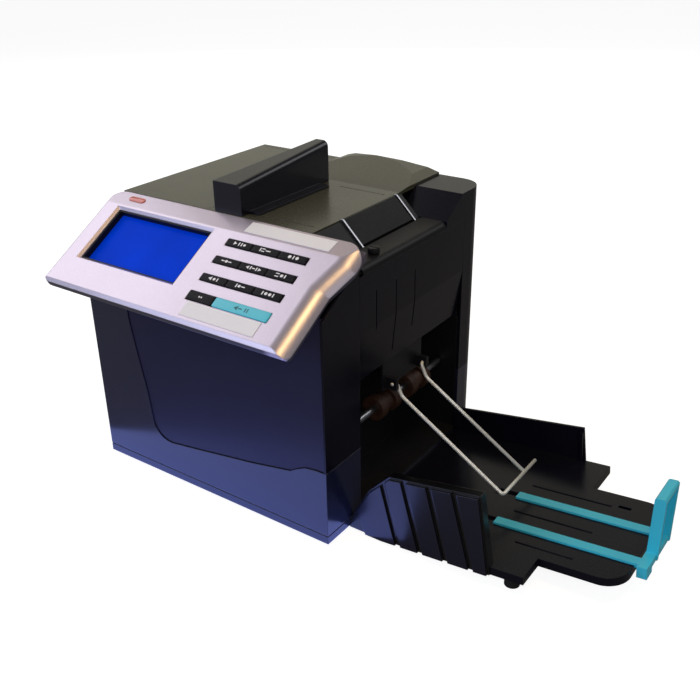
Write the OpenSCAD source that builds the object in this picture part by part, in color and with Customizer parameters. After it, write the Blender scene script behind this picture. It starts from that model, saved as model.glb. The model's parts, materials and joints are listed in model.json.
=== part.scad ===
// Desktop banknote counting machine, built as an assembly of separate pieces.
// X runs along the console face, Y into the depth, Z up. Millimetres.
// The origin is the centre of the whole object's footprint, on the ground.

/* [Body] */
// Width of the body along X
body_w = 290; // [240:5:350]
// Depth of the body along Y
body_d = 280; // [230:5:340]
// Height of the flat top above the ground
body_h = 277; // [230:1:335]
// Thickness of the moulded shell
wall = 2.5; // [2:0.1:3]
// Height of the body's rubber feet
foot_h = 3; // [2:0.5:5]
// Height of the seam between the lower pan and the covers
seam_z = 80; // [70:1:90]
// Radius of the upright corner at the rear right
rear_r = 25; // [12:1:34]

/* [Console] */
// Tilt of the console face above the horizontal
con_tilt = 30.7; // [20:0.1:40]
// Length of the console face up its slope
con_len = 99.2; // [90:0.1:110]
// How far the console overhangs each side of the body
con_over = 6.3; // [2:0.1:12]
// How far the console's right edge is drawn in below its upper corner
con_waist = 8.7; // [5:0.1:10]
// Thickness of the silver bezel
bezel_t = 9; // [8:0.5:12]
// Depth of the key travel
key_travel = 0.8; // [0.5:0.1:1.2]

/* [Exit and tray] */
// Depth of the front cheek beside the exit mouth
cheek_y = 54; // [45:1:65]
// Height of the exit mouth's top lip
mouth_z = 145.5; // [130:0.5:160]
// Tilt of the receiving tray, rising outward
tray_tilt = 5.5; // [3:0.5:8]
// Height of the tray floor where it leaves the body
tray_z = 6.5; // [6:0.5:9]
// Length of the wide part of the tray
tray_len = 178; // [160:2:200]
// Length of the tray with its narrow tongue
tongue_len = 252; // [225:1:280]
// Radius of the wire of the retaining bail
wire_r = 1.75; // [1.25:0.05:2.25]

/* [Hopper] */
// Left edge of the hopper plate
hop_x = 112; // [100:1:125]
// Height of the hopper guide at its rear end
guide_h = 42; // [30:1:52]

/* [Drive] */
// Radius of the steel roller shafts
shaft_r = 4; // [3:0.5:5]
// Radius of the exit rollers
exit_r = 13; // [10:0.5:14]
// Radius of the feed rollers
feed_r = 15; // [11:0.5:15.5]

/* [Hidden] */
$fn = 0;
$fa = 6;
$fs = 0.4;
W = body_w;
D = body_d;
H = body_h;
t = wall;
g = 0.4;                       // open seam between two covers
rs_y = D - 41;                 // front edge of the rear corner strip
th_x = W - 54;                 // right edge of the hopper plate
base_t = 6;                    // console underplate
slab_t = bezel_t + base_t;
strip_l = 19.9;
strip_a = -12;
con_y = -43.7;
con_z = H - 57.3 - (con_len - 99.2) * sin(con_tilt) - 104.1 * (tan(con_tilt) - tan(30.7));
con_top = con_len;
sv_u = con_len + strip_l * cos(strip_a);
sv_n = strip_l * sin(strip_a);
con_rear = con_y + sv_u * cos(con_tilt) - sv_n * sin(con_tilt);
bail_x = W + 1.5;
bail_z = 124;
exit_x = W - 24;
exit_z = 86;
feed_x = W - 28;
feed_z = H - 46;
motor_x = W - 110;
motor_z = 120;
f0 = cheek_y - 7;               // outer face of the front side frame
f1 = D - 36;                   // inner face of the rear side frame
org_x = (W + (tongue_len + 13) * cos(tray_tilt) + 4 * sin(tray_tilt) - con_over) / 2;
org_y = (D + 2.6 + con_y - 3.6 * cos(con_tilt) + 2.2 * sin(con_tilt)) / 2;
K = con_len - 99.2;            // keys keep their place from the top edge

// ---- helpers: boxes by their limits, and profiles run along an axis ----
module box(x0, x1, y0, y1, z0, z1) translate([x0, y0, z0]) cube([x1 - x0, y1 - y0, z1 - z0]);
module along_x(p, x0, x1) translate([x0, 0, 0]) rotate([90, 0, 90]) linear_extrude(height = x1 - x0) polygon(p);
module along_y(p, y0, y1) translate([0, y1, 0]) rotate([90, 0, 0]) linear_extrude(height = y1 - y0) polygon(p);
module along_z(p, z0, z1) translate([0, 0, z0]) linear_extrude(height = z1 - z0) polygon(p);
module cyl_y(x, z, y0, y1, r) translate([x, y1, z]) rotate([90, 0, 0]) cylinder(h = y1 - y0, r = r);
module cyl_z(x, y, z0, z1, r) translate([x, y, z0]) cylinder(h = z1 - z0, r = r);
module rod_xz(p, q, y, r) translate([p[0], y, p[1]]) rotate([0, atan2(q[0] - p[0], q[1] - p[1]), 0])
  cylinder(h = sqrt(pow(q[0] - p[0], 2) + pow(q[1] - p[1], 2)), r = r);
module place() translate([-org_x, -org_y, 0]) children();

// body outline seen from above, inset by i, with the rear right corner rounded
module plan2d(i, r) union() {
  translate([i, i]) square([W - 2 * i - r, D - 2 * i]);
  translate([i, i]) square([W - 2 * i, D - 2 * i - r]);
  translate([W - i - r, D - i - r]) circle(r = r);
}
// console frame: x across, u up the face, n out of the face
module con() translate([0, con_y, con_z]) rotate([con_tilt, 0, 0]) children();
module strip() con() translate([0, con_len, 0]) rotate([strip_a, 0, 0]) children();
// everything above the underside of the console
module con_space() con() box(-40, W + 40, -60, con_len + 60, -slab_t, 60);
// front seam: from under the console down the left, round the scoop, to the right edge
function seam(dx, dz) = [for (p = [[53, 250], [53.3, 174], [59.5, 137], [67.3, 98], [71.6, 61],
  [74.2, 55], [78.5, 49.8], [83.7, 46.4], [88.9, 44.9], [94.7, 44.3], [127, 48.8], [202, 60],
  [248.5, 68.7], [256, 73.6], [266, 78.2], [279, 80], [291, 80]])
  [p[0] * W / 290 + dx, p[1] + seam_z - 80 + dz]];
// tray frame: x outward along the floor, z out of the floor
module tray() translate([W, 0, tray_z]) rotate([0, -tray_tilt, 0]) children();

// ---- body shell ----
module base_pan() color("#20244a") place() difference() {
  union() {
    translate([0, 0, foot_h]) linear_extrude(height = seam_z - foot_h) plan2d(0, rear_r);
    box(0, 80 * W / 290, 0, t, seam_z - 1, H - 20);
  }
  translate([0, 0, foot_h + t]) linear_extrude(height = H) plan2d(t, rear_r - t);
  along_y(concat(seam(0, 0), [[W + 1, 260 + H]], [[53 * W / 290, 260 + H]]), -1, t + 0.01);
  box(W - t - 1, W + 1, cheek_y, rs_y, 8, seam_z + 1);
  con_space();
  // fine reveal line above the lower edge
  difference() {
    box(-1, W + 1, -1, D + 1, 11, 12.2);
    translate([0, 0, 10]) linear_extrude(height = 4) plan2d(0.8, rear_r - 0.8);
  }
}
module front_panel() color("#1c1d33") place() difference() {
  along_y(concat(seam(0.6, 0.6), [[W + 1, 260 + H]], [[53.6 * W / 290, 260 + H]]), 1, 1 + t);
  box(W - t, W + 5, -5, 20, 0, 2 * H);
  box(-5, W + 5, -5, 20, H - 25, 3 * H);
  con_space();
}
module left_cover() color("#17171f") place() difference() {
  box(0, t, t + g, D - t, seam_z + g, H - t);
  con_space();
  box(-1, t + 1, -1, con_rear + 0.2, H - t - 8, H);
}
module rear_cover() color("#17171f") place() difference() {
  box(0, W - 28, D - t, D, seam_z + g, H - t);
  for (i = [0 : 8]) box(110 + i * 12, 115 + i * 12, D - t - 1, D + 1, 190, 240);
  box(38.2, 65.8, D - t - 1, D + 1, 94.2, 115.8);
  box(75.8, 94.2, D - t - 1, D + 1, 94, 116);
}
module right_front_cheek() color("#1b1b28") place() difference() {
  union() {
    box(W - t, W, 0, cheek_y, seam_z + g, H);
    box(th_x, W - t, cheek_y - t, cheek_y, seam_z + g, H - 19);
  }
  con_space();
  cyl_y(exit_x, exit_z, cheek_y - t - 1, cheek_y + 1, shaft_r + 1.5);
  cyl_y(feed_x, feed_z, cheek_y - t - 1, cheek_y + 1, shaft_r + 1.5);
}
module exit_side_panel() color("#2a2a35") place() difference() {
  along_y([[W - t, H - 28], [W, H - 28], [W, 195], [W - 5, mouth_z + 1], [W - 6, mouth_z],
    [W - 8.5, mouth_z], [W - 8.5, mouth_z + 1], [W - t, 195.4]], cheek_y + g, rs_y - g);
  for (s = [[26.5, 191, 229], [59, 196, 228.5], [91.5, 196, 227]])
    box(W - 1, W + 1, cheek_y + s[0] - 0.8, cheek_y + s[0] + 0.8, s[1], s[2] + H - 277);
  for (s = [[59, 156], [91.5, 169]])
    along_y([[W - 1.2, 196], [W + 2, 196], [W + 2, s[1]], [W - 1.2 - 6 * (195 - s[1]) / 49, s[1]]],
      cheek_y + s[0] - 0.8, cheek_y + s[0] + 0.8);
}
module rear_corner_cover() color("#22222c") place() difference() {
  intersection() {
    translate([0, 0, seam_z + g]) linear_extrude(height = H - seam_z - g) plan2d(0, rear_r);
    union() {
      box(W - 28, W + 1, D - t - 30, D + 1, seam_z, H + 1);
      box(W - 28, W + 1, rs_y, D + 1, seam_z, H + 1);
      box(th_x + g, W + 1, D - 48, D + 1, H - t, H + 1);
      along_x([[D - 77, H - 20.5], [D - 48, H], [D - 30, H], [D - 30, H - 28], [D - 77, H - 28]], th_x + g, W + 1);
    }
  }
  difference() {
    translate([0, 0, 10]) linear_extrude(height = H - t - 10) plan2d(t, rear_r - t);
    along_x([[D - 77, H - 20.5], [D - 48, H], [D - 45, H], [D - 72.6, H - 20.5], [D - 77, H - 28]], 0, W);
  }
  box(0, W - t, D - 77.1, D - 30, 0, H - 28 - 0.01);
  box(W - t - 1, W + 1, D - 80, rs_y, 0, H - 28);
}
module top_cover() color("#3a3a30") place()
  difference() {
    box(0, hop_x, con_rear + 0.4, D, H - t, H);
    box(6, hop_x - 6, D - 7, D - 6, H - 0.6, H + 1);
  }
module hopper_plate() color("#45453a") place() difference() {
  intersection() {
    along_x([[con_rear + 0.4, H - t], [con_rear + 0.4, H], [D - 78, H], [D, H + 9], [D, H - t]], hop_x + g, th_x);
    along_y([[hop_x, H - t], [hop_x, H + 0.6], [hop_x + 8, H + 5], [hop_x + 18, H + 7.5], [hop_x + 45, H + 9],
      [hop_x + 78, H + 8.2], [th_x - 14, H + 5.5], [th_x, H + 2], [th_x, H - t]], 0, D + 1);
  }
  for (y = [95, 165]) box(hop_x + 2.5, hop_x + 51.5, y - 3.3, y + 3.3, H - t - 1, H + 1);
  // shallow lines that outline the note bed
  box(hop_x + 62, th_x - 8, con_rear + 14, con_rear + 15, H - 0.6, H + 1);
  box(hop_x + 62, th_x - 8, D - 92, D - 91, H - 0.6, H + 1);
}
module feed_chute() color("#39443f") place()
  along_y([[th_x + g, H - t], [th_x + g, H], [th_x + 2.5, H], [th_x + 22.5, H - 20], [th_x + 22.5, H - 23.4],
    [th_x + 1.6, H - t]], cheek_y + 50.4, D - 88.4);
module chute_trims() color("#d0d0d4") place()
  for (y = [cheek_y + 48.2, D - 88.2]) along_y([[th_x + g, H - t], [th_x + g, H + 1], [th_x + 3, H + 1],
    [th_x + 25, H - 21], [th_x + 25, H - 25.5], [th_x + 1.6, H - t]], y, y + 2);
module throat_surround() color("#1d1d24") place() {
  for (s = [[con_rear + 0.4, cheek_y + 48], [D - 86, D - 77.2]])
    along_y([[th_x + g, H - t - 1], [th_x + g, H - 1], [th_x + 2, H - 1], [th_x + 22.5, H - 21.5],
      [th_x + 26, H - 21.5], [th_x + 26, H - 25], [th_x + 23, H - 25], [th_x + 1.6, H - t - 1]], s[0], s[1]);
}
module feed_ledge() color("#33333a") place() difference() {
  translate([0, D - 77.2, 0]) rotate([90, 0, 0]) linear_extrude(height = D - 77.2 - cheek_y - 6.8) union() {
    translate([th_x + 26, H - 23]) square([21, 2.5]);
    translate([W - t, H - 28]) square([t, 0.6]);
    intersection() {
      difference() {
        translate([W - 7, H - 27.5]) circle(r = 7);
        translate([W - 7, H - 27.5]) circle(r = 4.5);
      }
      translate([W - 7, H - 27.5]) square([8, 8]);
    }
  }
  cyl_z(W - 12, cheek_y + 40, H - 30, H, 2.55);
}
// ---- console ----
module con_waist_plan(edge) polygon([[edge - con_waist, -30], [edge - con_waist, 62 + K], [edge, 92 + K],
  [edge + 10, 92 + K], [edge + 10, -30]]);
module con_plan() difference() {
  translate([-con_over, -6]) square([W + 2 * con_over, con_len + 28]);
  con_waist_plan(W + con_over);
  for (c = [[-con_over, -5, 10, 0], [W + con_over - con_waist, -5, 7, 90],
    [W + con_over, con_len + 19.6, 22, 180],
    [-con_over, con_len + 19.6, 14, 270]])
    translate([c[0], c[1]]) rotate(c[3]) difference() {
      translate([-2, -2]) square([c[2] + 2, c[2] + 2]);
      translate([c[2], c[2]]) circle(r = c[2]);
    }
}
// cross-section of the console's face: a broad round at the given right edge, a small one on the left
module con_section(edge) translate([0, con_len + 60, 0]) rotate([90, 0, 0])
  linear_extrude(height = con_len + 120) union() {
    translate([-con_over + 4, -30]) square([edge + con_over - 22, 30]);
    translate([-con_over, -30]) square([40, 26]);
    translate([-con_over + 4, -4]) circle(r = 4);
    translate([edge - 18.2, -24]) circle(r = 24);
  }
// the same broad round turned outward along the flared part of the right edge
module con_flare() translate([W + con_over - con_waist, 62 + K, 0]) rotate([0, 0, -atan(con_waist / 30)])
  translate([0, con_len, 0]) rotate([90, 0, 0]) linear_extrude(height = 2 * con_len) union() {
    translate([-400, -30]) square([382, 30]);
    translate([-18.2, -24]) circle(r = 24);
  }
module bezel_block() intersection() {
  along_x([[0, 0], [con_len, 0], [sv_u, sv_n], [sv_u - (bezel_t + sv_n) * tan(con_tilt), -bezel_t],
    [-3.2, -bezel_t], [-4.6, -6.5], [-3.6, -2.2]], -con_over, W + con_over);
  translate([0, 0, -20]) linear_extrude(height = 30) con_plan();
  con_section(W + con_over);
  union() {
    con_section(W + con_over - con_waist);
    con_flare();
  }
}
module console_bezel() color("#cbc2d2") place() con() difference() {
  bezel_block();
  // display opening with a chamfered rim
  box(16, 138, 31.5 + K, 94.5 + K, -20, 1);
  intersection() {
    along_x([[28.5 + K, 0.5], [97.5 + K, 0.5], [94 + K, -3], [32 + K, -3]], 10, 145);
    translate([0, 120 + K, 0]) rotate([90, 0, 0]) linear_extrude(height = 110)
      polygon([[13, 0.5], [141, 0.5], [137.5, -3], [16.5, -3]]);
  }
  // one slot per key row, over a shared pocket
  for (u = [82.5, 61.9, 41.3]) box(162.7, 253.9, u - 0.3 + K, u + 8.3 + K, -6, 1);
  box(162.7, 253.9, 19.2 + K, 29.8 + K, -6, 1);
  box(158, 260, 12 + K, 97 + K, -20, -4);
}
module console_underplate() color("#6f6878") place() con() difference() {
  along_x([[-2.2, -bezel_t], [sv_u - (bezel_t + sv_n) * tan(con_tilt), -bezel_t],
    [sv_u - (slab_t + sv_n) * tan(con_tilt), -slab_t], [2, -slab_t], [-2.2, -bezel_t - 3]],
    -con_over + 3, W + con_over - 3);
  translate([0, 0, -slab_t - 5]) linear_extrude(height = slab_t) con_waist_plan(W + con_over - 3);
  box(11.7, 142.3, 27.7 + K, 98.3 + K, -bezel_t - 4.6, 0);
}
module display_liner() color("#101014") place() con() difference() {
  box(16, 138, 31.5 + K, 94.5 + K, -bezel_t, -3.2);
  box(17.6, 136.4, 33.1 + K, 92.9 + K, -20, 1);
}
module display_window() color("#0a3cc8") place() con() box(12, 142, 28 + K, 98 + K, -bezel_t - 1.6, -bezel_t);
module display_module() color("#2c5a3c") place() con() box(12, 142, 28 + K, 98 + K, -bezel_t - 4.6, -bezel_t - 1.6);
module keypad_board() color("#1f6b3a") place() con() {
  box(159, 259, 13 + K, 96 + K, -bezel_t, -bezel_t + 1.6);
  for (u = [86.5, 65.9, 45.3, 24.3], x = [178, 208.6, 239.2])
    cyl_z(x, u + K, -bezel_t + 1.6, -bezel_t + 2.1, 3);
}
module upper_label_plate() color("#f2f2f2") place() strip() box(172, 266, 2.5, 17, 0, 0.5);
module lower_label_plate() color("#f2f2f2") place() con() box(168, 250, 3.2 + K, 18 + K, 0, 0.5);
module oval_badge() color("#d05030") place() strip() translate([27.8, 11, 0]) linear_extrude(height = 0.6) union() {
  translate([-7, -3.5]) square([14, 7]);
  translate([-7, 0]) circle(r = 3.5);
  translate([7, 0]) circle(r = 3.5);
}
module key_cap(x0, x1, u0, u1) con() {
  box(x0, x1, u0 + K, u1 + K, -4.3, 1);
  box(x0, x1, u0 - 1.2 + K, u1 + 1.2 + K, -5.8, -4.3);
}
module key_at(i, u) key_cap(163 + i * 30.3, 192.9 + i * 30.3, u, u + 8);
module key_r1_left() color("#15151a") place() key_at(0, 82.5);
module key_r1_mid() color("#15151a") place() key_at(1, 82.5);
module key_r1_right() color("#15151a") place() key_at(2, 82.5);
module key_r2_left() color("#15151a") place() key_at(0, 61.9);
module key_r2_mid() color("#15151a") place() key_at(1, 61.9);
module key_r2_right() color("#15151a") place() key_at(2, 61.9);
module key_r3_left() color("#15151a") place() key_at(0, 41.3);
module key_r3_mid() color("#15151a") place() key_at(1, 41.3);
module key_r3_right() color("#15151a") place() key_at(2, 41.3);
module key_r4_small() color("#15151a") place() key_cap(163, 192.9, 19.5, 29.5);
module key_r4_wide() color("#58e0e0") place() key_cap(193.5, 253.6, 19.5, 29.5);
// ---- hopper ----
module guide_plan(i) polygon([[hop_x + 10 + i * 1.8, con_rear + 1 + i], [hop_x + 43 - i, con_rear + 1 + i],
  [hop_x + 43 - i, cheek_y + 142 - i], [hop_x + 28.5 + i * 1.6, cheek_y + 142 - i]]);
module hopper_guide() color("#1b1b26") place() {
  difference() {
    intersection() {
      translate([0, 0, H + 0.3]) linear_extrude(height = 80) guide_plan(0);
      along_x([[con_rear, H], [con_rear, H + guide_h - 13], [cheek_y + 143, H + guide_h], [cheek_y + 143, H]], 0, W);
      // right shoulder rounded along the rising top
      translate([hop_x, con_rear, H + guide_h - 13]) rotate([atan2(13, cheek_y + 143 - con_rear), 0, 0])
        translate([0, 200, 0]) rotate([90, 0, 0]) linear_extrude(height = 260) union() {
          translate([0, -80]) square([37, 80]);
          translate([0, -80]) square([43, 74]);
          translate([37, -6]) circle(r = 6);
        }
    }
    intersection() {
      translate([0, 0, H - 1]) linear_extrude(height = 80) guide_plan(2.2);
      along_x([[con_rear, H - 1], [con_rear, H + guide_h - 21], [cheek_y + 143, H + guide_h - 8], [cheek_y + 143, H - 1]], 0, W);
    }
  }
  box(hop_x + 42.5, hop_x + 55, cheek_y + 18, cheek_y + 126, H + 0.3, H + 2.3);
  for (y = [95, 165]) {
    box(hop_x + 26, hop_x + 42, y - 3, y + 3, H + 0.3, H + 12);
    box(hop_x + 27, hop_x + 39, y - 3, y + 3, H - 7, H + 0.4);
    box(hop_x + 22, hop_x + 44, y - 6.5, y + 6.5, H - 8, H - 5.5);
  }
}
module thickness_screw() color("#2c2c32") place() difference() {
  union() {
    cyl_z(W - 12, cheek_y + 40, H - 20.2, H - 14.5, 5);
    cyl_z(W - 12, cheek_y + 40, H - 27.5, H - 20.2, 2.5);
    cyl_z(W - 12, cheek_y + 40, H - 27.5, H - 24.5, 3.6);
  }
  box(W - 18, W - 6, cheek_y + 39.3, cheek_y + 40.7, H - 16, H);
}
// ---- exit ----
module stacker_well() color("#121216") place() difference() {
  union() {
    along_y([[W - 52, 8], [W, 8], [W, 10.5], [W - 49.5, 10.5], [W - 49.5, 146], [W - 52, 146]], cheek_y, rs_y);
    box(W - 49.5, W - t, cheek_y, cheek_y + 2.5, 10.5, 142);
    box(W - 49.5, W - t, rs_y - 2.5, rs_y, 10.5, 142);
  }
  cyl_y(exit_x, exit_z, cheek_y - 1, D, shaft_r + 1.5);
}
module bail_bracket() color("#26262c") place() difference() {
  union() {
    box(W - 8.5, W - 6, cheek_y + 46, cheek_y + 116, bail_z - 8, mouth_z);
    for (y = [cheek_y + 51, cheek_y + 106]) box(W - 6.5, bail_x + 4.5, y, y + 4.6, bail_z - 6, bail_z + 6);
  }
  cyl_y(bail_x, bail_z, cheek_y + 40, cheek_y + 120, wire_r + 0.06);
}
module wire_bail() color("#c9c9c4") place() {
  p = [bail_x, bail_z];
  q = [bail_x + 6.5, bail_z - 14];
  e = [bail_x + 118, bail_z - 84];
  for (s = [[cheek_y + 58, -1], [cheek_y + 103.7, 1]]) {
    cyl_y(p[0], p[1], s[1] < 0 ? s[0] - 7.5 : s[0], s[1] < 0 ? s[0] : s[0] + 7.5, wire_r);
    translate([p[0], s[0], p[1]]) sphere(r = wire_r + 0.02);
    rod_xz(p, q, s[0], wire_r);
    translate([q[0], s[0], q[1]]) sphere(r = wire_r + 0.02);
    rod_xz(q, e, s[0], wire_r);
  }
  translate([e[0], cheek_y + 58, e[1]]) sphere(r = wire_r + 0.02);
  cyl_y(e[0], e[1], cheek_y + 58, cheek_y + 128, wire_r);
}
// ---- tray, in its own tilted frame ----
module tray_plan(i) union() {
  translate([-6, 36 + i]) square([tray_len + 6 - i, D - 79 - 2 * i - 12]);
  translate([-6, 48 + i]) square([tray_len + 6 - i, D - 91 - 2 * i]);
  translate([-6, 36 + i]) square([tray_len - 6 - i, D - 79 - 2 * i]);
  translate([tray_len - 12, 48]) circle(r = 12 - i);
  translate([tray_len - 12, D - 55]) circle(r = 12 - i);
  translate([tray_len - 20, 66 + i]) square([tongue_len - tray_len - 2, 126 - 2 * i]);
  translate([tray_len - 20, 88]) square([tongue_len - tray_len + 20 - i, 82]);
  translate([tongue_len - 22, 88]) circle(r = 22 - i);
  translate([tongue_len - 22, 170]) circle(r = 22 - i);
}
module tray_base() color("#2b2b2a") place() difference() {
  tray() {
    difference() {
      translate([0, 0, -8]) linear_extrude(height = 8) tray_plan(0);
      translate([0, 0, -9]) linear_extrude(height = 5) tray_plan(2.5);
      for (y = [100, 147]) box(98, tongue_len + 20, y - 5.2, y + 5.2, -2.3, 1);
      box(tongue_len - 42, tongue_len - 30, 171, 175, -9, 1);
    }
    for (r = [[80, 150], [123.5, 128], [171, 125]]) box(r[1], tongue_len - 48, r[0] - 1.2, r[0] + 1.2, -1, 0.8);
  }
  box(-50, W, -50, 400, -50, 100);
  box(0, 900, -50, 400, -50, 2);
}
module tray_front_wall() color("#33365e") place() difference() {
  tray() {
    wall_p = [[-6, -8], [8, 16], [26, 43], [50, 64], [142, 70.5], [147, -8]];
    difference() {
      along_y(wall_p, 34.5, 36);
      box(-10, 0, 0, 100, -30, -20);
    }
    // pads between slanted grooves
    intersection() {
      along_y([[0, -8], [9.5, 14.5], [27.5, 41.5], [51, 62], [140.2, 68.3], [145, -8]], 32.2, 34.5);
      for (x = [[6, 38], [44, 62], [67.5, 88], [93.5, 113.5], [119, 150]])
        along_y([[x[0] + (x[0] < 20 ? -12 : -0.5), 72], [x[1] - 0.5, 72], [x[1] + 13.6, -9], [x[0] + 13.6, -9]], 31, 35);
    }
    difference() {
      along_y([[0, 0], [8, 16], [26, 43], [50, 64], [142, 70.5], [146.5, 0]], 36, 43);
      along_y([[-1, -1], [10, 12], [28, 40.2], [51.3, 61], [139.6, 67.4], [144, -1]], 35, 41);
    }
  }
  box(-50, W, -50, 400, -50, 100);
  box(0, 900, -50, 400, -50, 2);
}
module tray_rear_wall() color("#1d1d22") place() difference() {
  tray() {
    along_y([[-6, -8], [-6, 27], [30, 29.5], [150, 36.5], [152, -8]], D - 43, D - 40.4);
    box(147, 150, D - 47, D - 42.9, 0, 32);
    along_y([[2, 0], [2, 25], [5, 25], [8, 0]], D - 47, D - 43);
  }
  box(-50, W, -50, 400, -50, 100);
  box(0, 900, -50, 400, -50, 2);
}
module tray_feet() color("#26262a") place() difference() {
  for (y = [50, D - 57]) cyl_z(W + tray_len - 16, y, 0, 40, 7);
  tray() box(-60, 400, -10, 400, -4, 60);
}
module note_stop() color("#4fd8e0") place() tray() {
  for (y = [100, 147]) box(120, tongue_len + 5, y - 5, y + 5, -2.2, 2);
  // yoke beyond the end of the tongue, with its hooked front end
  box(tongue_len + 3, tongue_len + 12, 95, 152, -4, 2);
  box(tongue_len + 3, tongue_len + 12, 92, 105, -9, 2);
  difference() {
    along_y([[tongue_len + 3, -4], [tongue_len + 13, -4], [tongue_len + 18.6, 56], [tongue_len + 17, 57.6],
      [tongue_len + 10, 57.6], [tongue_len + 8.6, 56]], 115, 150);
    along_y([[tongue_len + 6.6, -5], [tongue_len + 14.6, -5], [tongue_len + 20.6, 53], [tongue_len + 11.6, 53]], 118, 147);
  }
}
// ---- drive ----
module side_frames() color("#9a9da2") place() difference() {
  union() {
    box(th_x - 106, W - 6, f0, f0 + 2, foot_h + t, H - 37);
    box(th_x - 106, W - 6, f1 - 2, f1, foot_h + t, H - 37);
    box(th_x - 106, th_x - 4, f1 - 2, f1, H - 37.5, H - t);
  }
  for (p = [[exit_x, exit_z], [feed_x, feed_z]]) cyl_y(p[0], p[1], 0, D, shaft_r + 0.06);
  cyl_y(motor_x, motor_z, f1 - 5, f1 + 5, 6);
}
module shaft_at(x, z) cyl_y(x, z, f0 - 4, f1 + 20, shaft_r);
module feed_shaft() color("#b9bcc0") place() union() {
  shaft_at(feed_x, feed_z);
  cyl_y(feed_x, feed_z, f1 + 7.6, f1 + 14.6, 16);
}
module feed_rollers() color("#2a2724") place() for (y = [cheek_y + 52, cheek_y + 104]) difference() {
  cyl_y(feed_x, feed_z, y, y + 26, feed_r);
  cyl_y(feed_x, feed_z, y - 1, y + 27, shaft_r);
}
module exit_shaft() color("#b9bcc0") place() union() {
  shaft_at(exit_x, exit_z);
  cyl_y(exit_x, exit_z, f1 + 2, f1 + 14.6, 16);
}
module exit_rollers() color("#7a4a2c") place() for (y = [cheek_y + 56, cheek_y + 112]) difference() {
  union() {
    cyl_y(exit_x, exit_z, y, y + 10, exit_r);
    cyl_y(exit_x, exit_z, y + 10, y + 24, exit_r - 3);
    cyl_y(exit_x, exit_z, y + 24, y + 34, exit_r);
  }
  cyl_y(exit_x, exit_z, y - 1, y + 35, shaft_r);
}
module motor() color("#8e9196") place() {
  cyl_y(motor_x, motor_z, f1 - 62, f1 - 2, 26);
  cyl_y(motor_x, motor_z, f1 - 66, f1 - 62, 8);
}
module motor_pulley() color("#c9b06a") place() union() {
  cyl_y(motor_x, motor_z, f1 - 1.9, f1 + 10, 3);
  cyl_y(motor_x, motor_z, f1 + 2, f1 + 7.2, 10);
}
// loop of belt round two pulleys, centres p and q, radii a and b
module loop2d(p, q, a, b) {
  d = sqrt(pow(q[0] - p[0], 2) + pow(q[1] - p[1], 2));
  h = atan2(q[1] - p[1], q[0] - p[0]);
  k = acos((a - b) / d);
  union() {
    translate(p) circle(r = a);
    translate(q) circle(r = b);
    polygon([[p[0] + a * cos(h + k), p[1] + a * sin(h + k)], [q[0] + b * cos(h + k), q[1] + b * sin(h + k)],
      q, [q[0] + b * cos(h - k), q[1] + b * sin(h - k)], [p[0] + a * cos(h - k), p[1] + a * sin(h - k)], p]);
  }
}
module belt(p, q, a, b, y0, y1) translate([0, y1, 0]) rotate([90, 0, 0]) linear_extrude(height = y1 - y0) difference() {
  loop2d(p, q, a + 1.8, b + 1.8);
  loop2d(p, q, a + 0.3, b + 0.3);
}
module drive_belts() color("#1a1a1a") place() {
  belt([motor_x, motor_z], [exit_x, exit_z], 10, 16, f1 + 2.2, f1 + 7);
  belt([exit_x, exit_z], [feed_x, feed_z], 16, 16, f1 + 8.2, f1 + 14);
}
module sensor_bar() color("#1e1e22") place() difference() {
  box(W - 49.5, W - 40, cheek_y + 2.5, rs_y - 2.5, 128, 140);
  for (i = [0 : 5]) box(W - 41, W - 39, cheek_y + 25 + i * 24, cheek_y + 33 + i * 24, 131, 137);
}
module power_supply() color("#a8abad") place() difference() {
  box(18, 108, D - 130, D - 30, foot_h + t, 50);
  for (i = [0 : 6]) box(24 + i * 12, 30 + i * 12, D - 120, D - 60, 48.6, 51);
}
module main_board() color("#1f6b3a") place() {
  box(20, 110, 24, 134, 14, 15.6);
  for (x = [26, 104], y = [30, 128]) cyl_z(x, y, foot_h + t, 14, 3);
  box(40, 62, 50, 72, 15.6, 17.6);
  box(74, 100, 96, 106, 15.6, 24);
  for (y = [40, 56]) cyl_z(88, y, 15.6, 32, 5);
}
module mains_inlet() color("#15151a") place() {
  difference() {
    union() {
      box(38.4, 65.6, D - 20, D, 94.4, 115.6);
      box(34, 70, D, D + 1.5, 91, 119);
    }
    box(40.5, 63.5, D - 16, D + 2, 96.8, 113.2);
  }
  for (p = [[45, 103], [52, 107], [59, 103]]) box(p[0] - 1, p[0] + 1, D - 16, D - 2, p[1] - 2, p[1] + 2);
}
module rocker_switch() color("#b02a24") place() union() {
  along_x([[D - 4, 97], [D + 1.2, 97], [D + 0.2, 105], [D + 2.6, 113], [D - 4, 113]], 78.6, 91.4);
  translate([79.5, D - 5, 105]) rotate([0, 90, 0]) cylinder(h = 11, r = 3);
  translate([76.5, D - 5, 105]) rotate([0, 90, 0]) cylinder(h = 17, r = 1.5);
}
module switch_body() color("#15151a") place() difference() {
  union() {
    box(76, 94, D - 18, D, 94.2, 115.8);
    box(74, 96, D, D + 1.5, 92, 118);
  }
  box(78.3, 91.7, D - 15, D + 3, 95.4, 114.6);
  translate([70, D - 5, 105]) rotate([0, 90, 0]) cylinder(h = 30, r = 1.56);
}
module body_feet() color("#1a1a1a") place()
  for (p = [[22, 22], [W - 22, 22], [22, D - 22], [W - 32, D - 32]]) cyl_z(p[0], p[1], 0, foot_h, 9);
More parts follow.
